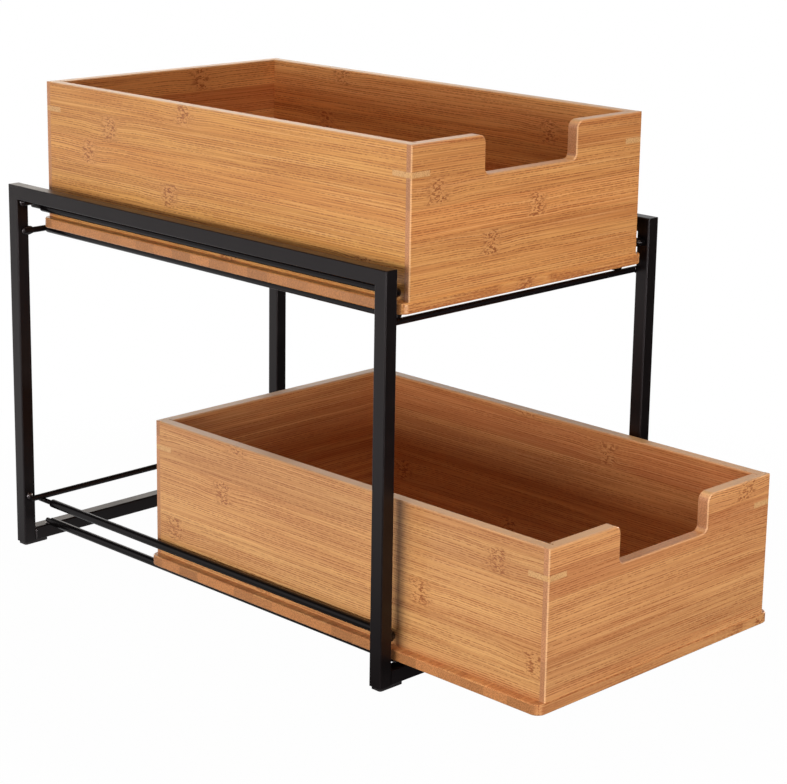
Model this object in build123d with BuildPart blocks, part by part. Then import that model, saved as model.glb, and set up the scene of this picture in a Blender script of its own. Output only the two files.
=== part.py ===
from build123d import *
import os

os.makedirs("parts", exist_ok=True)

# A two-tier pull-out organizer: a black steel frame and two bamboo drawers.
# X is across, Y runs from the front to the back, Z is up from the floor.
# The upper drawer is shut but for a few millimetres, the lower one is pulled out.

# Steel frame, square tube
frame_width = 258.5
frame_depth = 381.0
tube_size = 10.0
tube_wall = 1.0
tube_corner = 1.0
rail_gap = 0.6

# Glides under the corners
foot_length = 20.0
foot_width = 8.5
foot_thickness = 2.0
foot_corner = 1.5
foot_inset = 1.0

# Round wire that carries and holds down the drawers
cross_wire_diameter = 4.2
cross_wire_inset = 4.5
rod_diameter = 3.5
upper_cross_wire_height = 232.0
rod_stub = 3.5
weld_sink = 0.3
bend_radius = 5.0
support_rod_inset = 14.0
hold_down_rod_inset = 6.75

# Plastic sleeves on the rods
sleeve_diameter = 6.0
sleeve_gap = 0.25
sleeve_end_gap = 1.0
hold_down_bare_front = 1.0
hold_down_bare_rear = {"upper": 8.5, "lower": 12.0}

# Drawer box, a bamboo board on each side and a wider base under it
box_height = 96.0
board = 8.5
board_edge = 0.7
base_thickness = 7.0
base_lip = 0.8
base_corner = 6.4
base_edge = 0.6

# Finger notch in the front board
notch_width = 86.0
notch_depth = 25.0
notch_top_corner = 5.5
notch_bottom_corner = 4.0

# Flat keys let into the corners, below the top edge
key_leg = 16.0
key_thickness = 3.5
key_drop = 18.5

# Where the drawers stand, and their play
upper_setback = 1.1
upper_stop_gap = 5.5
lower_pull_out = 116.7
running_gap = 0.3
box_side_gap = 1.25
base_side_gap = 4.5
upper_hold_down_gap = 3.4
lower_hold_down_gap = 5.2

# Cuts run past the surface by this much
overrun = 1.0

# Sizes that follow
rod_radius = rod_diameter / 2
wire_radius = cross_wire_diameter / 2
sleeve_radius = sleeve_diameter / 2
lap = board / 2
inner_face_x = frame_width / 2 - tube_size
post_x = frame_width / 2 - tube_size / 2
support_rod_x = inner_face_x - support_rod_inset
hold_down_rod_x = inner_face_x - hold_down_rod_inset
wire_span = frame_width - 2 * cross_wire_inset
box_width = 2 * (hold_down_rod_x - sleeve_radius - box_side_gap)
base_width = 2 * (inner_face_x - base_side_gap)
stop_face = frame_depth - tube_size - cross_wire_diameter + weld_sink
box_length = stop_face - upper_stop_gap - upper_setback

# Places along Y, with the whole object centred on the origin
overall_depth = frame_depth + lower_pull_out + base_lip
frame_front_y = -overall_depth / 2 + lower_pull_out + base_lip
frame_rear_y = frame_front_y + frame_depth
front_post_y = frame_front_y + tube_size / 2
rear_post_y = frame_rear_y - tube_size / 2
front_wire_y = frame_front_y + tube_size + wire_radius - weld_sink
rear_wire_y = frame_rear_y - tube_size - wire_radius + weld_sink

# Heights, from the floor up
tube_top = foot_thickness + tube_size
rod_on_tube = rod_radius - weld_sink
rod_on_wire = wire_radius + rod_radius - weld_sink
support_rod_height = {
    "upper": upper_cross_wire_height + rod_on_wire,
    "lower": tube_top + rod_on_tube,
}
base_bottom = {tier: z + sleeve_radius + running_gap for tier, z in support_rod_height.items()}
base_top = {tier: z + base_thickness for tier, z in base_bottom.items()}
hold_down_height = {
    "upper": base_top["upper"] + upper_hold_down_gap + sleeve_radius,
    "lower": base_top["lower"] + lower_hold_down_gap + sleeve_radius,
}
stop_wire_height = {tier: z + rod_on_wire for tier, z in hold_down_height.items()}
rail_bottom = stop_wire_height["upper"] + wire_radius + rail_gap
frame_height = rail_bottom + tube_size

# Front face of each drawer's box
drawer_front_y = {
    "upper": frame_front_y + upper_setback,
    "lower": frame_front_y - lower_pull_out,
}

sides = {"left": -1, "right": 1}
tiers = ("upper", "lower")


def finish(builder, name):
    """Labels the piece and writes it."""
    builder.part.label = name
    export_step(builder.part, f"parts/{name}.step")


def tube_profile():
    """The square tube's section, drawn in the sketch that is open."""
    RectangleRounded(tube_size, tube_size, tube_corner)
    inside = tube_size - 2 * tube_wall
    Rectangle(inside, inside, mode=Mode.SUBTRACT)


# Posts, mitred at the top where the rails meet them
for side, sign in sides.items():
    for end, post_y, mitre_y, mitre_lean in (
        ("front", front_post_y, frame_front_y, 1),
        ("rear", rear_post_y, frame_rear_y, -1),
    ):
        with BuildPart() as post:
            with BuildSketch(Plane.XY.offset(foot_thickness)):
                with Locations((sign * post_x, post_y)):
                    tube_profile()
            extrude(amount=frame_height - foot_thickness)
            mitre = Plane(origin=(0, mitre_y, frame_height), x_dir=(1, 0, 0), z_dir=(0, mitre_lean, 1))
            split(bisect_by=mitre, keep=Keep.BOTTOM)
        finish(post, f"{side}_{end}_post")

# Top rails, front to back, one on each side
for side, sign in sides.items():
    with BuildPart() as rail:
        with BuildSketch(Plane.XZ.offset(-frame_front_y)):
            with Locations((sign * post_x, frame_height - tube_size / 2)):
                tube_profile()
        extrude(amount=-frame_depth)
        for mitre_y, mitre_lean in ((frame_front_y, 1), (frame_rear_y, -1)):
            mitre = Plane(origin=(0, mitre_y, frame_height), x_dir=(1, 0, 0), z_dir=(0, mitre_lean, 1))
            split(bisect_by=mitre, keep=Keep.TOP)
    finish(rail, f"{side}_top_rail")

# Bottom tubes, left to right between the posts
for end, tube_y in (("front", front_post_y), ("rear", rear_post_y)):
    with BuildPart() as bottom_tube:
        with BuildSketch(Plane.YZ):
            with Locations((tube_y, foot_thickness + tube_size / 2)):
                tube_profile()
        extrude(amount=inner_face_x, both=True)
    finish(bottom_tube, f"{end}_bottom_tube")

# Glides under the four corners
for side, sign in sides.items():
    for end, foot_y in (("front", front_post_y), ("rear", rear_post_y)):
        with BuildPart() as foot:
            with BuildSketch():
                with Locations((sign * (frame_width / 2 - foot_inset - foot_length / 2), foot_y)):
                    RectangleRounded(foot_length, foot_width, foot_corner)
            extrude(amount=foot_thickness)
        finish(foot, f"{side}_{end}_foot")


def cross_wire(name, wire_y, wire_z, post_y):
    """A wire from side to side, let a little into the faces of both posts."""
    with BuildPart() as wire:
        with Locations(Location((0, wire_y, wire_z), (0, 90, 0))):
            Cylinder(wire_radius, wire_span)
        for sign in sides.values():
            with Locations((sign * post_x, post_y, wire_z)):
                Box(tube_size, tube_size, 2 * cross_wire_diameter, mode=Mode.SUBTRACT)
    finish(wire, name)


# Cross wires that carry the upper drawer's rods: under them in front, level with them behind
cross_wire("upper_front_cross_wire", front_wire_y, upper_cross_wire_height, front_post_y)
cross_wire("upper_rear_cross_wire", rear_wire_y, support_rod_height["upper"], rear_post_y)

# Stop wires across the back of each tier, on top of the hold-down rods
for tier in tiers:
    cross_wire(f"{tier}_stop_wire", rear_wire_y, stop_wire_height[tier], rear_post_y)


# Support rods front to back: on the cross wires above, on the bottom tubes below
support_rod_ends = {
    "upper": (front_wire_y, rear_wire_y),
    "lower": (front_post_y, rear_post_y),
}
support_sleeve_ends = {
    "upper": (front_wire_y + wire_radius + sleeve_end_gap, rear_wire_y - wire_radius - sleeve_end_gap),
    "lower": (
        frame_front_y + tube_size + sleeve_end_gap,
        frame_rear_y - tube_size - sleeve_end_gap,
    ),
}
for tier in tiers:
    rod_start, rod_end = support_rod_ends[tier]
    rod_z = support_rod_height[tier]
    for side, sign in sides.items():
        with BuildPart() as rod:
            with BuildSketch(Plane.XZ.offset(-rod_start)):
                with Locations((sign * support_rod_x, rod_z)):
                    Circle(rod_radius)
            extrude(amount=rod_start - rod_end)
            if tier == "upper":
                for wire_y, wire_z in ((front_wire_y, upper_cross_wire_height), (rear_wire_y, rod_z)):
                    seat = Location((sign * support_rod_x, wire_y, wire_z), (0, 90, 0))
                    with Locations(seat):
                        Cylinder(wire_radius, 2 * rod_diameter, mode=Mode.SUBTRACT)
            else:
                for tube_y in (front_post_y, rear_post_y):
                    with Locations((sign * support_rod_x, tube_y, tube_top - tube_size / 2)):
                        Box(2 * rod_diameter, tube_size, tube_size, mode=Mode.SUBTRACT)
        finish(rod, f"{tier}_{side}_support_rod")

        # Its sleeve, a plain plastic tube
        sleeve_start, sleeve_end = support_sleeve_ends[tier]
        with BuildPart() as sleeve:
            with BuildSketch(Plane.XZ.offset(-sleeve_start)):
                with Locations((sign * support_rod_x, rod_z)):
                    Circle(sleeve_radius)
                    Circle(rod_radius + sleeve_gap, mode=Mode.SUBTRACT)
            extrude(amount=sleeve_start - sleeve_end)
        finish(sleeve, f"{tier}_{side}_support_sleeve")

# Hold-down rods over the base's flanges, bent outward at the front to meet the posts
for tier in tiers:
    rod_z = hold_down_height[tier]
    rod_end = rear_wire_y + wire_radius + rod_stub
    for side, sign in sides.items():
        with BuildPart() as rod:
            with BuildLine() as route:
                FilletPolyline(
                    (sign * inner_face_x, front_post_y, rod_z),
                    (sign * hold_down_rod_x, front_post_y, rod_z),
                    (sign * hold_down_rod_x, rod_end, rod_z),
                    radius=bend_radius,
                )
            with BuildSketch(Plane(origin=route.line @ 0, z_dir=route.line % 0)):
                Circle(rod_radius)
            sweep()
            seat = Location((sign * hold_down_rod_x, rear_wire_y, stop_wire_height[tier]), (0, 90, 0))
            with Locations(seat):
                Cylinder(wire_radius, 2 * rod_diameter, mode=Mode.SUBTRACT)
        finish(rod, f"{tier}_{side}_hold_down_rod")

        # Its sleeve follows the rod round the bend
        sleeve_start = inner_face_x - hold_down_bare_front
        sleeve_end = frame_rear_y - tube_size - hold_down_bare_rear[tier]
        with BuildPart() as sleeve:
            with BuildLine() as sleeve_route:
                FilletPolyline(
                    (sign * sleeve_start, front_post_y, rod_z),
                    (sign * hold_down_rod_x, front_post_y, rod_z),
                    (sign * hold_down_rod_x, sleeve_end, rod_z),
                    radius=bend_radius,
                )
            with BuildSketch(Plane(origin=sleeve_route.line @ 0, z_dir=sleeve_route.line % 0)):
                Circle(sleeve_radius)
                Circle(rod_radius + sleeve_gap, mode=Mode.SUBTRACT)
            sweep()
        finish(sleeve, f"{tier}_{side}_hold_down_sleeve")


def key_places(tier):
    """The four outer corners of a drawer's box, and the way into the box from each."""
    front_y = drawer_front_y[tier]
    return [
        (sign_x * box_width / 2, y, -sign_x, sign_y)
        for sign_x in sides.values()
        for y, sign_y in ((front_y, 1), (front_y + box_length, -1))
    ]


def corner_keys(tier, mode=Mode.ADD):
    """Flat three-cornered keys, or the slots for them, at a drawer's corners."""
    key_z = base_top[tier] + box_height - key_drop - key_thickness / 2
    for x, y, way_x, way_y in key_places(tier):
        with BuildSketch(Plane.XY.offset(key_z)) as outline:
            with BuildLine():
                Polyline((x, y), (x + way_x * key_leg, y), (x, y + way_y * key_leg), close=True)
            make_face()
            outer = outline.vertices().sort_by_distance((x, y, key_z))[0]
            chamfer(outer, board_edge)
        extrude(outline.sketch, amount=key_thickness, mode=mode)


def end_board(tier, name, outer_y, way, notched):
    """A front or back board, lapped over the ends of the side boards. way points into the box."""
    bottom_z = base_top[tier]
    middle_z = bottom_z + box_height / 2
    rebate_x = box_width / 2 - board / 2
    rebate_y = outer_y + way * (lap + board / 2)
    within = box_width / 2 - overrun
    with BuildPart() as panel:
        with BuildSketch(Plane.XZ.offset(-outer_y)) as face:
            with Locations((0, middle_z)):
                Rectangle(box_width, box_height)
            if notched:
                with Locations((0, bottom_z + box_height)):
                    Rectangle(notch_width, 2 * notch_depth, mode=Mode.SUBTRACT)
                top_z = bottom_z + box_height
                rims = [v for v in face.vertices() if abs(v.X) < notch_width / 2 + overrun]
                fillet([v for v in rims if v.Y > top_z - overrun], notch_top_corner)
                rims = [v for v in face.vertices() if abs(v.X) < notch_width / 2 + overrun]
                fillet([v for v in rims if v.Y < top_z - notch_depth + overrun], notch_bottom_corner)
        extrude(amount=-way * board)
        flat_faces = panel.faces().filter_by(Axis.Y)
        outline = [e for f in flat_faces for e in f.edges()]
        eased = [e for e in outline if e.center().Z > bottom_z + overrun and abs(e.center().X) < within]
        outer_face = flat_faces.sort_by_distance((0, outer_y, bottom_z))[0]
        corners = [e for e in outer_face.edges() if abs(e.center().X) > within]
        chamfer(eased + corners, board_edge)
        for sign in sides.values():
            with Locations((sign * rebate_x, rebate_y, middle_z)):
                Box(board, board, box_height + 2 * overrun, mode=Mode.SUBTRACT)
        corner_keys(tier, Mode.SUBTRACT)
    finish(panel, f"{tier}_drawer_{name}")


for tier in tiers:
    front_y = drawer_front_y[tier]
    rear_y = front_y + box_length
    middle_y = front_y + box_length / 2
    bottom_z = base_top[tier]

    # Front and back boards
    end_board(tier, "front", front_y, 1, True)
    end_board(tier, "back", rear_y, -1, False)

    # Side boards
    for side, sign in sides.items():
        with BuildPart() as side_board:
            with BuildSketch(Plane.XZ.offset(-(front_y + lap))):
                with Locations((sign * (box_width / 2 - board / 2), bottom_z + box_height / 2)):
                    Rectangle(board, box_height)
            extrude(amount=2 * lap - box_length)
            top_edges = side_board.faces().sort_by(Axis.Z)[-1].edges().filter_by(Axis.Y)
            chamfer(top_edges, board_edge)
            corner_keys(tier, Mode.SUBTRACT)
            finish(side_board, f"{tier}_drawer_{side}_side")

    # Base board, wider than the box so that its flanges run between the rods
    base_length = box_length + base_lip
    with BuildPart() as base:
        with BuildSketch(Plane.XY.offset(base_bottom[tier])):
            with Locations((0, middle_y - base_lip / 2)):
                RectangleRounded(base_width, base_length, base_corner)
        extrude(amount=base_thickness)
        rims = base.faces().filter_by(Axis.Z).edges()
        chamfer(rims, base_edge)
    finish(base, f"{tier}_drawer_base")

    # Keys at the corners
    with BuildPart() as keys:
        corner_keys(tier)
    finish(keys, f"{tier}_drawer_corner_keys")
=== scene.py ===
import math

import bpy
from mathutils import Matrix, Vector


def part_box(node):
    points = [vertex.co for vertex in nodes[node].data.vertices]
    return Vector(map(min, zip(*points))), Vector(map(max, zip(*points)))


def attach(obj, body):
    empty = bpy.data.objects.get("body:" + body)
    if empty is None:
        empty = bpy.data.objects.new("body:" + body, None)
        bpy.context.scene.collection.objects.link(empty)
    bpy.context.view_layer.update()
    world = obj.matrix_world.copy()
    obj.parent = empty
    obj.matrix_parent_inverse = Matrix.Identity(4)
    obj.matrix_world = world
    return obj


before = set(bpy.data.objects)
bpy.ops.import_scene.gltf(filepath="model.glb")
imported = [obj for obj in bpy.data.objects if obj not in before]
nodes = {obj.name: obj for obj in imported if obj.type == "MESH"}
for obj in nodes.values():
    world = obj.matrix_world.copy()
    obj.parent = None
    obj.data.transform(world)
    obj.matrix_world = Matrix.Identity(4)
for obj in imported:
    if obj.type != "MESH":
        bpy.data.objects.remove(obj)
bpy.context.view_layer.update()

tiers = ("upper", "lower")
MM = 0.001

# The photograph's frame, and the camera fitted to it
photo_width = 787
focal_pixels = 2235.1
camera_place = (-1.04489, -1.04751, 0.55422)
camera_yaw = math.radians(45.212)
camera_pitch = math.radians(-13.916)
camera_roll = math.radians(0.915)
camera_shift_y = -0.08
camera_sees_to = 50.0
sensor_width = 36.0

camera_data = bpy.data.cameras.new("camera")
camera_data.sensor_width = sensor_width
camera_data.lens = focal_pixels / photo_width * sensor_width
camera_data.shift_y = camera_shift_y
camera_data.clip_end = camera_sees_to
camera = bpy.data.objects.new("camera", camera_data)
camera.matrix_world = (
    Matrix.Translation(camera_place)
    @ Matrix.Rotation(-camera_yaw, 4, "Z")
    @ Matrix.Rotation(math.pi / 2 + camera_pitch, 4, "X")
    @ Matrix.Rotation(camera_roll, 4, "Z")
)
bpy.context.scene.collection.objects.link(camera)
bpy.context.scene.camera = camera
bpy.context.scene.view_settings.view_transform = "Standard"


def linear(colour):
    """A hex sRGB colour as linear RGBA."""
    values = [int(colour[i : i + 2], 16) / 255 for i in (1, 3, 5)]
    return (*[v / 12.92 if v <= 0.04045 else ((v + 0.055) / 1.055) ** 2.4 for v in values], 1.0)


def add(tree, kind, inputs=None, **settings):
    """Adds a node, sets it, and fills or links its inputs."""
    node = tree.nodes.new(kind)
    for key, value in settings.items():
        setattr(node, key, value)
    for key, value in (inputs or {}).items():
        if isinstance(value, bpy.types.NodeSocket):
            tree.links.new(value, node.inputs[key])
        else:
            node.inputs[key].default_value = value
    return node


def new_material(name):
    """An empty material with nodes."""
    material = bpy.data.materials.new(name)
    material.use_nodes = True
    material.node_tree.nodes.clear()
    return material, material.node_tree


def dress(obj, material):
    """Gives the piece this material all over."""
    obj.data.materials.clear()
    obj.data.materials.append(material)


def stretched(length, width):
    """The scale of a noise on millimetres whose grains are this long and this wide and deep."""
    return (1 / length, 1 / width, 1 / width)


# Sizes of the bamboo's pattern in millimetres: lengths run along the grain, widths across it
strip_width = 19.0
strip_offset = 900.0
knuckle_period = 330.0
knuckle_core = 11.0
knuckle_reach = 32.0
knuckle_wander = 18.0
ragged_length, ragged_width = 14.0, 4.5
stroke_length, stroke_width = 3.2, 1.2
drift_length, drift_width = 55.0, 30.0
drift_away, drift_at_knuckle = 0.6, 2.4
fibre_length, fibre_width = 120.0, 0.6
row_spacing = 1.45
row_offset = 47.3
dash_length = 70.0
break_length = 3.0
band_length, band_width = 220.0, 7.5
pore_length, pore_width = 6.0, 0.9
# How far below a wall's top the painted highlight on its top faces starts, and where it is full
top_highlight_start, top_highlight_full = 20.0, 8.0

# How far one more on a board's seed moves its strips' joints, in strips, and their chances
strip_phase = 0.37
strip_draw = 7.31

# Where a noise starts to show and where it shows in full
dark_stroke_range = (0.5, 0.58)
pale_stroke_range = (0.48, 0.4)
dark_fibre_range = (0.5, 0.6)
pale_fibre_range = (0.44, 0.34)
dash_range = (0.36, 0.56)
break_range = (0.4, 0.55)
band_range = (0.36, 0.64)
pore_range = (0.42, 0.62)
red_range = (0.4, 1.0)

# Shares of a strip's or a row's width, counted from its middle line to its edge at 0.5, and
# shares of a knuckle's core
joint_range = (0.485, 0.5)
strip_edge_range = (0.34, 0.49)
row_line_range = (0.1, 0.3)
core_range = (0.2, 1.1)

# How squarely a face looks along the grain or up, and how much an arris turns from its faces
square_range = (0.75, 0.9)
arris_range = (0.95, 0.8)

# How dark a dash stays at its breaks, how bright the strips are beside each other, and how
# strongly the painted highlight shows low in a finger notch, on the top edge and on an arris
dash_left = 0.35
strip_brightness = (0.9, 1.06)
top_highlight_low, top_highlight_high = 0.3, 0.7
arris_highlight_share = 0.35
# Colours of the painted highlights on the walls' top edges and on their arrises
top_highlight_tone = "#E2BE8C"
arris_highlight_tone = "#F4CFA4"

# End grain of a drawer's walls, which is dull and even, and of its base's edges, set darker as
# painted shade: light tone, dark tone, and the brightness of the strips
wall_end_grain = ("#CF946A", "#B27A52", (0.8, 1.06))
shaded_base_end_grain = ("#CB8B57", "#A56C3F", (0.74, 1.14))

# The clear lacquer on the wood, and how strongly the fibres show through its surface
lacquer_roughness = 0.34
lacquer_ior = 1.5
fibre_relief = 0.1

# Depth in millimetres of the fine unevenness of the wood and of the black finishes
bump_depth = 0.1


def bamboo(name, grain, across, seed, redness, light_tone, dark_tone, board_top):
    """Carbonised bamboo, laminated from flat strips, sanded and lacquered: golden to reddish
    brown, with fine dark fibre lines along the grain, a knuckle now and then in each strip,
    and blocks of duller end grain where the strips are cut across."""
    material, tree = new_material(name)
    surface = add(tree, "ShaderNodeTexCoord")
    in_mm = add(
        tree, "ShaderNodeVectorMath",
        {0: surface.outputs["Object"], "Scale": 1 / MM}, operation="SCALE",
    )
    axes = add(tree, "ShaderNodeSeparateXYZ", {0: in_mm.outputs[0]})
    along = axes.outputs[grain]
    over = axes.outputs[across]
    deep = axes.outputs[({"X", "Y", "Z"} - {grain, across}).pop()]
    turned = add(tree, "ShaderNodeCombineXYZ", {0: along, 1: over, 2: deep})

    # Strips, each with its own number and chances
    strip_place = add(
        tree, "ShaderNodeMath", {0: over, 1: 1 / strip_width, 2: seed * strip_phase},
        operation="MULTIPLY_ADD",
    )
    strip = add(tree, "ShaderNodeMath", {0: strip_place.outputs[0]}, operation="FLOOR")
    strip_seed = add(
        tree, "ShaderNodeMath", {0: strip.outputs[0], 1: seed * strip_draw}, operation="ADD",
    )
    chance = add(
        tree, "ShaderNodeTexWhiteNoise", {"W": strip_seed.outputs[0]}, noise_dimensions="1D",
    )
    chances = add(tree, "ShaderNodeSeparateColor", {0: chance.outputs["Color"]})
    shift = add(
        tree, "ShaderNodeMath", {0: chance.outputs["Value"], 1: strip_offset, 2: along},
        operation="MULTIPLY_ADD",
    )
    in_strip = add(tree, "ShaderNodeMath", {0: strip_place.outputs[0]}, operation="FRACT")
    off_middle = add(tree, "ShaderNodeMath", {0: in_strip.outputs[0], 1: 0.5}, operation="SUBTRACT")
    to_joint = add(tree, "ShaderNodeMath", {0: off_middle.outputs[0]}, operation="ABSOLUTE")
    joint = add(
        tree, "ShaderNodeMapRange",
        {"Value": to_joint.outputs[0], "From Min": joint_range[0], "From Max": joint_range[1]},
    )
    inside = add(
        tree, "ShaderNodeMapRange",
        {"Value": to_joint.outputs[0], "From Min": strip_edge_range[0],
         "From Max": strip_edge_range[1], "To Min": 1.0, "To Max": 0.0},
        interpolation_type="SMOOTHSTEP",
    )

    # A knuckle across each strip, at its own places along the grain
    step = add(tree, "ShaderNodeMath", {0: shift.outputs[0], 1: knuckle_period}, operation="DIVIDE")
    in_step = add(tree, "ShaderNodeMath", {0: step.outputs[0]}, operation="FRACT")
    from_middle = add(tree, "ShaderNodeMath", {0: in_step.outputs[0], 1: 0.5}, operation="SUBTRACT")
    ragged_place = add(
        tree, "ShaderNodeMapping",
        {"Vector": turned.outputs[0], "Scale": stretched(ragged_length, ragged_width),
         "Location": (seed, 0, 0)},
    )
    ragged = add(
        tree, "ShaderNodeTexNoise",
        {"Vector": ragged_place.outputs[0], "Scale": 1.0, "Detail": 2.0},
    )
    from_knuckle = add(
        tree, "ShaderNodeMath",
        {0: ragged.outputs["Fac"], 1: knuckle_wander, 2: -knuckle_wander / 2},
        operation="MULTIPLY_ADD",
    )
    signed = add(
        tree, "ShaderNodeMath",
        {0: from_middle.outputs[0], 1: knuckle_period, 2: from_knuckle.outputs[0]},
        operation="MULTIPLY_ADD",
    )
    distance = add(tree, "ShaderNodeMath", {0: signed.outputs[0]}, operation="ABSOLUTE")
    near = add(
        tree, "ShaderNodeMapRange",
        {"Value": distance.outputs[0], "From Min": core_range[0] * knuckle_core,
         "From Max": core_range[1] * knuckle_core, "To Min": 1.0, "To Max": 0.0},
        interpolation_type="SMOOTHSTEP",
    )
    core = add(
        tree, "ShaderNodeMath", {0: near.outputs[0], 1: inside.outputs[0]}, operation="MULTIPLY",
    )
    halo = add(
        tree, "ShaderNodeMapRange",
        {"Value": distance.outputs[0], "From Min": knuckle_core, "From Max": knuckle_reach,
         "To Min": 1.0, "To Max": 0.0},
        interpolation_type="SMOOTHSTEP",
    )
    stroke_place = add(
        tree, "ShaderNodeMapping",
        {"Vector": turned.outputs[0], "Scale": stretched(stroke_length, stroke_width),
         "Location": (seed, 0, 0)},
    )
    stroke = add(
        tree, "ShaderNodeTexNoise",
        {"Vector": stroke_place.outputs[0], "Scale": 1.0, "Detail": 1.0, "Distortion": 0.9},
    )
    dark_stroke = add(
        tree, "ShaderNodeMapRange",
        {"Value": stroke.outputs["Fac"], "From Min": dark_stroke_range[0],
         "From Max": dark_stroke_range[1]},
    )
    pale_stroke = add(
        tree, "ShaderNodeMapRange",
        {"Value": stroke.outputs["Fac"], "From Min": pale_stroke_range[0],
         "From Max": pale_stroke_range[1]},
    )
    dark_knuckle = add(
        tree, "ShaderNodeMath", {0: core.outputs[0], 1: dark_stroke.outputs[0]},
        operation="MULTIPLY",
    )
    pale_knuckle = add(
        tree, "ShaderNodeMath", {0: core.outputs[0], 1: pale_stroke.outputs[0]},
        operation="MULTIPLY",
    )

    # Fibres run straight, and wander a little beside a knuckle
    drift_place = add(
        tree, "ShaderNodeMapping",
        {"Vector": turned.outputs[0], "Scale": stretched(drift_length, drift_width),
         "Location": (seed, 0, 0)},
    )
    drift = add(
        tree, "ShaderNodeTexNoise",
        {"Vector": drift_place.outputs[0], "Scale": 1.0, "Detail": 1.0},
    )
    bend = add(
        tree, "ShaderNodeMapRange",
        {"Value": halo.outputs[0], "To Min": drift_away, "To Max": drift_at_knuckle},
    )
    drifted = add(
        tree, "ShaderNodeMath", {0: drift.outputs["Fac"], 1: bend.outputs[0], 2: over},
        operation="MULTIPLY_ADD",
    )
    fibre_place = add(
        tree, "ShaderNodeCombineXYZ", {0: shift.outputs[0], 1: drifted.outputs[0], 2: deep},
    )
    fibre_scaled = add(
        tree, "ShaderNodeMapping",
        {"Vector": fibre_place.outputs[0], "Scale": stretched(fibre_length, fibre_width)},
    )
    fibre = add(
        tree, "ShaderNodeTexNoise",
        {"Vector": fibre_scaled.outputs[0], "Scale": 1.0, "Detail": 2.0, "Roughness": 0.6},
    )
    fibre_dark = add(
        tree, "ShaderNodeMapRange",
        {"Value": fibre.outputs["Fac"], "From Min": dark_fibre_range[0],
         "From Max": dark_fibre_range[1]},
    )
    fibre_pale = add(
        tree, "ShaderNodeMapRange",
        {"Value": fibre.outputs["Fac"], "From Min": pale_fibre_range[0],
         "From Max": pale_fibre_range[1]},
    )

    # Dark dashes in rows, each row with its own breaks
    row = add(
        tree, "ShaderNodeMath", {0: drifted.outputs[0], 1: 1 / row_spacing}, operation="MULTIPLY",
    )
    row_number = add(tree, "ShaderNodeMath", {0: row.outputs[0]}, operation="FLOOR")
    in_row = add(tree, "ShaderNodeMath", {0: row.outputs[0]}, operation="FRACT")
    off_row = add(tree, "ShaderNodeMath", {0: in_row.outputs[0], 1: 0.5}, operation="SUBTRACT")
    from_row = add(tree, "ShaderNodeMath", {0: off_row.outputs[0]}, operation="ABSOLUTE")
    row_line = add(
        tree, "ShaderNodeMapRange",
        {"Value": from_row.outputs[0], "From Min": row_line_range[0],
         "From Max": row_line_range[1], "To Min": 1.0, "To Max": 0.0},
    )
    row_start = add(
        tree, "ShaderNodeMath", {0: row_number.outputs[0], 1: row_offset, 2: shift.outputs[0]},
        operation="MULTIPLY_ADD",
    )
    dash_along = add(
        tree, "ShaderNodeMath", {0: row_start.outputs[0], 1: 1 / dash_length}, operation="MULTIPLY",
    )
    dash_place = add(
        tree, "ShaderNodeCombineXYZ",
        {0: dash_along.outputs[0], 1: row_number.outputs[0], 2: deep},
    )
    dash = add(
        tree, "ShaderNodeTexNoise", {"Vector": dash_place.outputs[0], "Scale": 1.0, "Detail": 2.0},
    )
    dash_on = add(
        tree, "ShaderNodeMapRange",
        {"Value": dash.outputs["Fac"], "From Min": dash_range[0], "From Max": dash_range[1]},
    )
    break_along = add(
        tree, "ShaderNodeMath", {0: row_start.outputs[0], 1: 1 / break_length},
        operation="MULTIPLY",
    )
    break_place = add(
        tree, "ShaderNodeCombineXYZ",
        {0: break_along.outputs[0], 1: row_number.outputs[0], 2: deep},
    )
    breaks = add(
        tree, "ShaderNodeTexNoise", {"Vector": break_place.outputs[0], "Scale": 1.0, "Detail": 1.0},
    )
    unbroken = add(
        tree, "ShaderNodeMapRange",
        {"Value": breaks.outputs["Fac"], "From Min": break_range[0], "From Max": break_range[1],
         "To Min": dash_left, "To Max": 1.0},
    )
    dash_line = add(
        tree, "ShaderNodeMath", {0: row_line.outputs[0], 1: dash_on.outputs[0]},
        operation="MULTIPLY",
    )
    dash_dark = add(
        tree, "ShaderNodeMath", {0: dash_line.outputs[0], 1: unbroken.outputs[0]},
        operation="MULTIPLY",
    )

    # Broad bands of tone
    band_scaled = add(
        tree, "ShaderNodeMapping",
        {"Vector": fibre_place.outputs[0], "Scale": stretched(band_length, band_width)},
    )
    band = add(
        tree, "ShaderNodeTexNoise", {"Vector": band_scaled.outputs[0], "Scale": 1.0, "Detail": 3.0},
    )
    band_mix = add(
        tree, "ShaderNodeMapRange",
        {"Value": band.outputs["Fac"], "From Min": band_range[0], "From Max": band_range[1]},
    )

    # The lines stop at a knuckle, and some strips are redder
    away = add(tree, "ShaderNodeMath", {0: 1.0, 1: core.outputs[0]}, operation="SUBTRACT")
    fibre_shown = add(
        tree, "ShaderNodeMath", {0: fibre_dark.outputs[0], 1: away.outputs[0]},
        operation="MULTIPLY",
    )
    dash_shown = add(
        tree, "ShaderNodeMath", {0: dash_dark.outputs[0], 1: away.outputs[0]},
        operation="MULTIPLY",
    )
    red_share = add(
        tree, "ShaderNodeMapRange",
        {"Value": chances.outputs[1], "From Min": red_range[0], "From Max": red_range[1]},
    )

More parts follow.
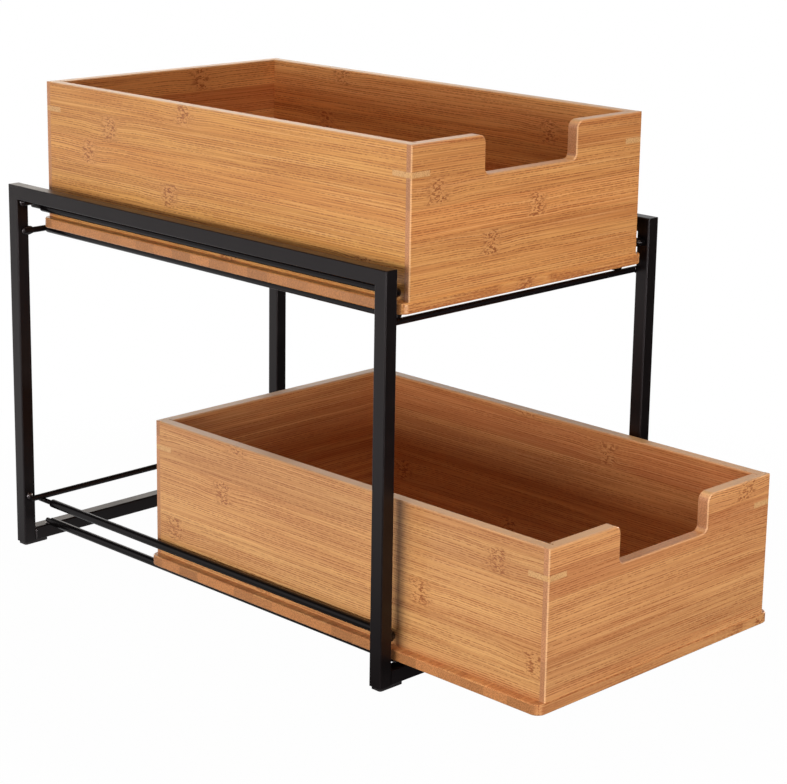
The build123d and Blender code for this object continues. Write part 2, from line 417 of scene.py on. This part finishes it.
    # The colours, one over another: where, how strongly, and which
    ground = add(
        tree, "ShaderNodeMix",
        {"Factor": band_mix.outputs[0], "A": linear(light_tone), "B": linear(dark_tone)},
        data_type="RGBA",
    )
    layers = (
        (red_share, redness, "#C27345"),
        (halo, 0.2, "#DDA062"),
        (fibre_shown, 0.4, "#A45A2A"),
        (fibre_pale, 0.35, "#EDBD84"),
        (dash_shown, 0.8, "#985026"),
        (core, 0.4, "#C07C48"),
        (pale_knuckle, 0.35, "#E2B074"),
        (dark_knuckle, 0.8, "#904C26"),
        (joint, 0.3, "#9A5B2E"),
    )
    colour = ground.outputs["Result"]
    for mask, strength, shade in layers:
        amount = add(
            tree, "ShaderNodeMath", {0: mask.outputs[0], 1: strength}, operation="MULTIPLY",
        )
        layer = add(
            tree, "ShaderNodeMix",
            {"Factor": amount.outputs[0], "A": colour, "B": linear(shade)}, data_type="RGBA",
        )
        colour = layer.outputs["Result"]
    tone = add(
        tree, "ShaderNodeMapRange",
        {"Value": chances.outputs[0], "To Min": strip_brightness[0],
         "To Max": strip_brightness[1]},
    )
    long_grain = add(
        tree, "ShaderNodeHueSaturation", {"Color": colour, "Value": tone.outputs[0]},
    )

    # Where strips are cut across: dots of fibre ends, each strip with its own tone
    # The base's edges take the darker end grain, which holds a painted shade
    cut_light, cut_dark, cut_brightness = wall_end_grain if across == "Z" else shaded_base_end_grain
    pore_place = add(
        tree, "ShaderNodeMapping",
        {"Vector": turned.outputs[0], "Scale": stretched(pore_length, pore_width)},
    )
    pore = add(
        tree, "ShaderNodeTexNoise",
        {"Vector": pore_place.outputs[0], "Scale": 1.0, "Detail": 2.0, "Roughness": 0.7},
    )
    pores = add(
        tree, "ShaderNodeMapRange",
        {"Value": pore.outputs["Fac"], "From Min": pore_range[0], "From Max": pore_range[1]},
    )
    cut = add(
        tree, "ShaderNodeMix",
        {"Factor": pores.outputs[0], "A": linear(cut_light), "B": linear(cut_dark)},
        data_type="RGBA",
    )
    cut_tone = add(
        tree, "ShaderNodeMapRange",
        {"Value": chances.outputs[2], "To Min": cut_brightness[0], "To Max": cut_brightness[1]},
    )
    end_grain = add(
        tree, "ShaderNodeHueSaturation",
        {"Color": cut.outputs["Result"], "Value": cut_tone.outputs[0]},
    )
    facing = add(tree, "ShaderNodeSeparateXYZ", {0: surface.outputs["Normal"]})
    facing_grain = add(tree, "ShaderNodeMath", {0: facing.outputs[grain]}, operation="ABSOLUTE")
    is_end = add(
        tree, "ShaderNodeMapRange",
        {"Value": facing_grain.outputs[0], "From Min": square_range[0],
         "From Max": square_range[1]},
    )
    whole = add(
        tree, "ShaderNodeMix",
        {"Factor": is_end.outputs[0], "A": long_grain.outputs["Color"],
         "B": end_grain.outputs["Color"]},
        data_type="RGBA",
    )

    # A wall's top edge and arrises are painted paler as a painted highlight, weaker low in the
    # finger notch
    if across == "Z":
        near_top = add(
            tree, "ShaderNodeMapRange",
            {"Value": over, "From Min": board_top - top_highlight_start,
             "From Max": board_top - top_highlight_full, "To Min": top_highlight_low,
             "To Max": top_highlight_high},
        )
        is_top = add(
            tree, "ShaderNodeMapRange",
            {"Value": facing.outputs["Z"], "From Min": square_range[0],
             "From Max": square_range[1], "To Max": near_top.outputs[0]},
        )
        whole = add(
            tree, "ShaderNodeMix",
            {"Factor": is_top.outputs[0], "A": whole.outputs["Result"],
             "B": linear(top_highlight_tone)},
            data_type="RGBA",
        )
        steepness = add(
            tree, "ShaderNodeVectorMath", {0: surface.outputs["Normal"]}, operation="ABSOLUTE",
        )
        parts = add(tree, "ShaderNodeSeparateXYZ", {0: steepness.outputs[0]})
        wide = add(
            tree, "ShaderNodeMath", {0: parts.outputs[0], 1: parts.outputs[1]},
            operation="MAXIMUM",
        )
        widest = add(
            tree, "ShaderNodeMath", {0: wide.outputs[0], 1: parts.outputs[2]},
            operation="MAXIMUM",
        )
        is_arris = add(
            tree, "ShaderNodeMapRange",
            {"Value": widest.outputs[0], "From Min": arris_range[0],
             "From Max": arris_range[1], "To Max": arris_highlight_share},
        )
        whole = add(
            tree, "ShaderNodeMix",
            {"Factor": is_arris.outputs[0], "A": whole.outputs["Result"],
             "B": linear(arris_highlight_tone)},
            data_type="RGBA",
        )
    bump = add(
        tree, "ShaderNodeBump",
        {"Height": fibre.outputs["Fac"], "Strength": fibre_relief, "Distance": bump_depth * MM},
    )
    lacquer = add(
        tree, "ShaderNodeBsdfPrincipled",
        {"Base Color": whole.outputs["Result"], "Roughness": lacquer_roughness,
         "IOR": lacquer_ior, "Normal": bump.outputs[0]},
    )
    add(tree, "ShaderNodeOutputMaterial", {"Surface": lacquer.outputs[0]})
    return material


# The corner keys' fine dots, 0.9 mm apart, and their clouds of tone, 4.5 mm across
dots_per_metre = 1100.0
key_clouds_per_metre = 220.0
dot_range = (0.25, 0.5)
key_light, key_dark, key_dot = "#E0B47E", "#D2A06A", "#BE8C58"


def key_bamboo(name):
    """Pale bamboo, uncarbonised, cut across its fibres: cream with fine brown dots, lacquered."""
    material, tree = new_material(name)
    surface = add(tree, "ShaderNodeTexCoord")
    cells = add(
        tree, "ShaderNodeTexVoronoi",
        {"Vector": surface.outputs["Object"], "Scale": dots_per_metre},
    )
    dot = add(
        tree, "ShaderNodeMapRange",
        {"Value": cells.outputs["Distance"], "From Min": dot_range[0], "From Max": dot_range[1]},
    )
    cloud = add(
        tree, "ShaderNodeTexNoise",
        {"Vector": surface.outputs["Object"], "Scale": key_clouds_per_metre, "Detail": 2.0},
    )
    pale = add(
        tree, "ShaderNodeMix",
        {"Factor": cloud.outputs["Fac"], "A": linear(key_light), "B": linear(key_dark)},
        data_type="RGBA",
    )
    dotted = add(
        tree, "ShaderNodeMix",
        {"Factor": dot.outputs[0], "A": linear(key_dot), "B": pale.outputs["Result"]},
        data_type="RGBA",
    )
    lacquer = add(
        tree, "ShaderNodeBsdfPrincipled",
        {"Base Color": dotted.outputs["Result"], "Roughness": lacquer_roughness,
         "IOR": lacquer_ior},
    )
    add(tree, "ShaderNodeOutputMaterial", {"Surface": lacquer.outputs[0]})
    return material


# The black coats: how far their gloss strays each way, over clouds some 17 mm across, and how
# strongly their fine grain shows
gloss_strays = (-0.06, 0.08)
coat_clouds_per_metre = 60.0
coat_relief = 0.12
coat_tint = "#FFF4F6"


def black_coat(name, colour, roughness, ior, peel_size):
    """A black finish that is lit mostly by what it mirrors: near black, with a fine grain of
    this size in millimetres that softens its shine."""
    material, tree = new_material(name)
    surface = add(tree, "ShaderNodeTexCoord")
    peel = add(
        tree, "ShaderNodeTexNoise",
        {"Vector": surface.outputs["Object"], "Scale": 1 / MM / peel_size, "Detail": 2.0},
    )
    bump = add(
        tree, "ShaderNodeBump",
        {"Height": peel.outputs["Fac"], "Strength": coat_relief, "Distance": bump_depth * MM},
    )
    cloud = add(
        tree, "ShaderNodeTexNoise",
        {"Vector": surface.outputs["Object"], "Scale": coat_clouds_per_metre, "Detail": 3.0},
    )
    shine = add(
        tree, "ShaderNodeMapRange",
        {"Value": cloud.outputs["Fac"], "To Min": roughness + gloss_strays[0],
         "To Max": roughness + gloss_strays[1]},
    )
    coat = add(
        tree, "ShaderNodeBsdfPrincipled",
        {"Base Color": linear(colour), "Roughness": shine.outputs[0], "IOR": ior,
         "Specular Tint": linear(coat_tint), "Normal": bump.outputs[0]},
    )
    add(tree, "ShaderNodeOutputMaterial", {"Surface": coat.outputs[0]})
    return material


# Powder coat, baked on to the steel: a satin black with a fine orange peel. Over a weld bead it
# runs smoother, and its paler colour there is a painted highlight. The sleeves are smooth
# extruded plastic with a narrow shine, and the glides dull moulded plastic. The steel's and
# sleeves' IOR is low, to match how little of the white room the real ones mirror.
frame_coat = black_coat("powder_coated_steel", "#090506", roughness=0.33, ior=1.36, peel_size=1.1)
# The weld beads' paler colour is a painted highlight
weld_coat = black_coat("powder_coated_weld", "#1A1415", roughness=0.22, ior=1.6, peel_size=2.0)
sleeve_plastic = black_coat("black_polyethylene", "#080607", roughness=0.18, ior=1.28, peel_size=3.0)
foot_plastic = black_coat("black_glide_plastic", "#161415", roughness=0.5, ior=1.45, peel_size=1.5)
key_wood = key_bamboo("pale_bamboo_key")

# Light and dark tone of each drawer's boards, and of the boards that differ. The back and right
# side, seen by their inner faces, are lighter in the upper drawer as painted light and darker in
# the lower drawer as painted shade
tones = {
    "upper": ("#E4A662", "#D49052"),
    "upper_left_side": ("#E7AD62", "#D5964F"),
    "upper_back": ("#EFB674", "#DFA060"),
    "upper_right_side": ("#EAAF6B", "#DB9959"),
    "lower": ("#E6AC70", "#D1935E"),
    "lower_left_side": ("#E7B172", "#D29860"),
    "lower_back": ("#D2935A", "#BE7C49"),
    "lower_right_side": ("#D99A5F", "#C5834F"),
}
# A drawer's boards: name, the way that its grain runs, and the way across its strips
boards = (
    ("front", "X", "Z"),
    ("back", "X", "Z"),
    ("left_side", "Y", "Z"),
    ("right_side", "Y", "Z"),
    ("base", "X", "Y"),
)
first_seed, tier_seed, board_seed = 3.0, 17.0, 2.3
left_redness, plain_redness = 0.2, 0.6
for tier_number, tier in enumerate(tiers):
    for board_number, (board, grain, across) in enumerate(boards):
        seed = first_seed + tier_seed * tier_number + board_seed * board_number
        redness = left_redness if board == "left_side" else plain_redness
        light_tone, dark_tone = tones.get(f"{tier}_{board}", tones[tier])
        board_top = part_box(f"{tier}_drawer_{board}")[1][2] / MM
        wood = bamboo(
            f"bamboo_{tier}_{board}", grain, across, seed, redness, light_tone, dark_tone, board_top
        )
        dress(nodes[f"{tier}_drawer_{board}"], wood)
    dress(nodes[f"{tier}_drawer_corner_keys"], key_wood)
for name, node in nodes.items():
    if "drawer" in name:
        continue
    if name.endswith("sleeve"):
        dress(node, sleeve_plastic)
    elif name.endswith("foot"):
        dress(node, foot_plastic)
    else:
        dress(node, frame_coat)

# Weld beads on the left where wires, rods and tubes meet the rear and front posts and the
# bottom tubes, mirrored to the right: centre and half sizes in millimetres
rear_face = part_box("left_rear_post")[0][1] / MM
front_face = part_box("left_front_post")[1][1] / MM
inner_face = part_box("left_rear_post")[1][0] / MM
tube_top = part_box("rear_bottom_tube")[1][2] / MM
rod_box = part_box("lower_left_support_rod")
rod_x = (rod_box[0][0] + rod_box[1][0]) / 2 / MM
wire_z = {
    name: (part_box(name)[0][2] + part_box(name)[1][2]) / 2 / MM
    for name in (
        "upper_front_cross_wire", "upper_rear_cross_wire", "upper_stop_wire", "lower_stop_wire",
    )
}
post_faces = ((rear_face, 1), (front_face, -1))
bead_plan = [
    ((inner_face - 1.6, rear_face - 1.2, wire_z["upper_rear_cross_wire"]), (5.6, 2.2, 3.3)),
    ((inner_face - 4.6, rear_face - 0.8, wire_z["upper_stop_wire"] + 0.3), (3.3, 1.6, 2.8)),
    ((inner_face - 5.6, rear_face - 0.8, wire_z["lower_stop_wire"] + 2.2), (2.6, 1.5, 2.7)),
    ((inner_face - 2.6, front_face + 0.8, wire_z["upper_front_cross_wire"]), (3.8, 1.5, 2.8)),
]
# Seams along the bottom tubes' top edges at the posts, seams down from there, and beads beside
# the rods that lie on the tubes
seam_x = inner_face + 0.1
top_seam, top_seam_reach = (0.9, 4.2, 0.9), 4.0
side_seam, side_seam_drop = (0.9, 0.8, 4.4), 5.0
rod_bead, rod_bead_aside, rod_bead_reach, rod_bead_rise = (1.2, 2.6, 0.9), 1.7, 1.8, 0.2
for face, outward in post_faces:
    bead_plan.append(((seam_x, face + outward * top_seam_reach, tube_top), top_seam))
for face, outward in post_faces:
    bead_plan.append(((seam_x, face, tube_top - side_seam_drop), side_seam))
for side_of_rod in (-1, 1):
    bead_x = rod_x + side_of_rod * rod_bead_aside
    for face, outward in post_faces:
        bead_y = face + outward * rod_bead_reach
        bead_plan.append(((bead_x, bead_y, tube_top + rod_bead_rise), rod_bead))
bpy.ops.object.select_all(action="DESELECT")
beads = []
for centre, half in bead_plan:
    for mirror in (1, -1):
        bpy.ops.mesh.primitive_ico_sphere_add(
            subdivisions=3, radius=1.0,
            location=(mirror * centre[0] * MM, centre[1] * MM, centre[2] * MM),
        )
        bead = bpy.context.object
        bead.scale = [h * MM for h in half]
        beads.append(bead)
for bead in beads:
    bead.select_set(True)
bpy.ops.object.join()
bpy.ops.object.transform_apply(location=True, rotation=True, scale=True)
bead = bpy.context.object
bead.name = "weld_beads"
bead_unevenness = 0.3 * MM
bpy.ops.object.mode_set(mode="EDIT")
bpy.ops.mesh.select_all(action="SELECT")
bpy.ops.transform.vertex_random(offset=bead_unevenness, uniform=0.6, normal=0.4, seed=4)
bpy.ops.mesh.vertices_smooth(factor=0.5, repeat=1)
bpy.ops.object.mode_set(mode="OBJECT")
bpy.ops.object.shade_smooth()
dress(bead, weld_coat)
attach(bead, "frame")

# The dimmest level of each part of the white room, and the range over which it changes between
# that and white: metres on the floor, and in the world how far a ray points that way
white = (1, 1, 1, 1)
floor_tone = "#9E9C99"
floor_seen_near, floor_near_range = 0.988, (0.3, 0.55)
floor_mirror_right, floor_right_range = 0.04, (-0.8, 0.15)
floor_mirror_far, floor_far_range = 0.6, (0.9, 2.0)
front_right = (0.7071, -0.7071, 0.0)
world_mirror_right, world_right_range = 0.05, (-0.1, 0.7)
world_mirror_overhead, overhead_range = 0.08, (0.4, 0.6)
world_light = 0.05


def white_floor(name):
    """A pale matt floor that is white to the eye but for the object's shadow, and dimmer
    towards the front right and far away for what the black frame mirrors."""
    material, tree = new_material(name)
    surface = add(tree, "ShaderNodeTexCoord")
    spot = add(tree, "ShaderNodeSeparateXYZ", {0: surface.outputs["Object"]})
    level_spot = add(tree, "ShaderNodeCombineXYZ", {0: spot.outputs[0], 1: spot.outputs[1]})
    reach = add(tree, "ShaderNodeVectorMath", {0: level_spot.outputs[0]}, operation="LENGTH")
    seen_share = add(
        tree, "ShaderNodeMapRange",
        {"Value": reach.outputs["Value"], "From Min": floor_near_range[0],
         "From Max": floor_near_range[1], "To Min": floor_seen_near, "To Max": 1.0},
        interpolation_type="SMOOTHSTEP",
    )
    rightward = add(
        tree, "ShaderNodeMath", {0: spot.outputs[0], 1: spot.outputs[1]}, operation="SUBTRACT",
    )
    mirrored = add(
        tree, "ShaderNodeMapRange",
        {"Value": rightward.outputs[0], "From Min": floor_right_range[0],
         "From Max": floor_right_range[1], "To Min": 1.0, "To Max": floor_mirror_right},
        interpolation_type="SMOOTHSTEP",
    )
    far = add(
        tree, "ShaderNodeMapRange",
        {"Value": reach.outputs["Value"], "From Min": floor_far_range[0],
         "From Max": floor_far_range[1], "To Min": 1.0, "To Max": floor_mirror_far},
    )
    mirror_level = add(
        tree, "ShaderNodeMath", {0: mirrored.outputs[0], 1: far.outputs[0]}, operation="MULTIPLY",
    )
    rays = add(tree, "ShaderNodeLightPath")
    straight = add(
        tree, "ShaderNodeMath",
        {0: rays.outputs["Is Camera Ray"], 1: rays.outputs["Is Transmission Ray"]},
        operation="MAXIMUM",
    )
    share = add(
        tree, "ShaderNodeMath", {0: straight.outputs[0], 1: seen_share.outputs[0]},
        operation="MULTIPLY",
    )
    matt = add(tree, "ShaderNodeBsdfDiffuse", {"Color": linear(floor_tone)})
    glow = add(tree, "ShaderNodeEmission", {"Color": white, "Strength": 1.0})
    dim_glow = add(
        tree, "ShaderNodeEmission", {"Color": white, "Strength": mirror_level.outputs[0]},
    )
    to_eye = add(
        tree, "ShaderNodeMixShader", {0: share.outputs[0], 1: matt.outputs[0], 2: glow.outputs[0]},
    )
    mixed = add(
        tree, "ShaderNodeMixShader",
        {0: rays.outputs["Is Glossy Ray"], 1: to_eye.outputs[0], 2: dim_glow.outputs[0]},
    )
    add(tree, "ShaderNodeOutputMaterial", {"Surface": mixed.outputs[0]})
    return material


def studio_world(name):
    """A world that is white where it is seen, dim where it lights, and dim towards the front
    right and overhead for what the object mirrors."""
    world = bpy.data.worlds.new(name)
    world.use_nodes = True
    tree = world.node_tree
    tree.nodes.clear()
    way = add(tree, "ShaderNodeTexCoord")
    towards = add(
        tree, "ShaderNodeVectorMath", {0: way.outputs["Generated"], 1: front_right},
        operation="DOT_PRODUCT",
    )
    mirrored = add(
        tree, "ShaderNodeMapRange",
        {"Value": towards.outputs["Value"], "From Min": world_right_range[0],
         "From Max": world_right_range[1], "To Min": 1.0, "To Max": world_mirror_right},
        interpolation_type="SMOOTHSTEP",
    )
    parts = add(tree, "ShaderNodeSeparateXYZ", {0: way.outputs["Generated"]})
    overhead = add(
        tree, "ShaderNodeMapRange",
        {"Value": parts.outputs[2], "From Min": overhead_range[0],
         "From Max": overhead_range[1], "To Min": 1.0, "To Max": world_mirror_overhead},
        interpolation_type="SMOOTHSTEP",
    )
    mirror_level = add(
        tree, "ShaderNodeMath", {0: mirrored.outputs[0], 1: overhead.outputs[0]},
        operation="MULTIPLY",
    )
    rays = add(tree, "ShaderNodeLightPath")
    straight = add(
        tree, "ShaderNodeMath",
        {0: rays.outputs["Is Camera Ray"], 1: rays.outputs["Is Transmission Ray"]},
        operation="MAXIMUM",
    )
    level = add(
        tree, "ShaderNodeMapRange",
        {"Value": straight.outputs[0], "To Min": world_light, "To Max": 1.0},
    )
    sky = add(tree, "ShaderNodeBackground", {"Color": white, "Strength": level.outputs[0]})
    mirror_sky = add(
        tree, "ShaderNodeBackground", {"Color": white, "Strength": mirror_level.outputs[0]},
    )
    mixed = add(
        tree, "ShaderNodeMixShader",
        {0: rays.outputs["Is Glossy Ray"], 1: sky.outputs[0], 2: mirror_sky.outputs[0]},
    )
    add(tree, "ShaderNodeOutputWorld", {"Surface": mixed.outputs[0]})
    return world


floor_size = 40.0
bpy.ops.mesh.primitive_plane_add(size=floor_size, location=(0, 0, 0))
floor = bpy.context.object
floor.name = "floor"
dress(floor, white_floor("white_floor"))
bpy.context.scene.world = studio_world("studio")

# Lamps: name, place, width, height, spread in degrees, watts, colour
lamps = (
    ("left_low_softbox", (-1.9, -0.25, 0.33), 1.4, 0.5, 150, 17.5, "#FFFFFF"),
    ("left_high_softbox", (-1.5, -0.3, 1.45), 0.9, 0.9, 150, 3.0, "#FFE3CC"),
    ("front_low_softbox", (-0.1, -2.1, 0.11), 1.4, 0.16, 150, 15.2, "#FFFFFF"),
    ("front_high_softbox", (-0.1, -1.7, 1.5), 0.9, 0.9, 150, 6.5, "#FFE3CC"),
    ("top_softbox", (0, 0, 2.4), 1.0, 1.0, 40, 1.3, "#FFE9D6"),
    ("rear_softbox", (1.1, 1.9, 0.75), 1.4, 0.4, 120, 1.2, "#FFEDD8"),
    ("right_fill", (2.0, 0.2, 0.2), 1.4, 0.3, 120, 9.0, "#FFF3E6"),
    ("rear_fill", (0.0, 2.3, 0.2), 1.4, 0.3, 120, 7.0, "#FFF3E6"),
)
lamp_target = Vector((0, 0, 0.17))
for name, place, width, height, spread, watts, colour in lamps:
    data = bpy.data.lights.new(name, "AREA")
    data.color = linear(colour)[:3]
    data.shape = "RECTANGLE"
    data.size = width
    data.size_y = height
    data.spread = math.radians(spread)
    data.energy = watts
    lamp = bpy.data.objects.new(name, data)
    lamp.location = place
    lamp.rotation_euler = (lamp_target - Vector(place)).to_track_quat("-Z", "Y").to_euler()
    bpy.context.scene.collection.objects.link(lamp)

bpy.context.view_layer.update()
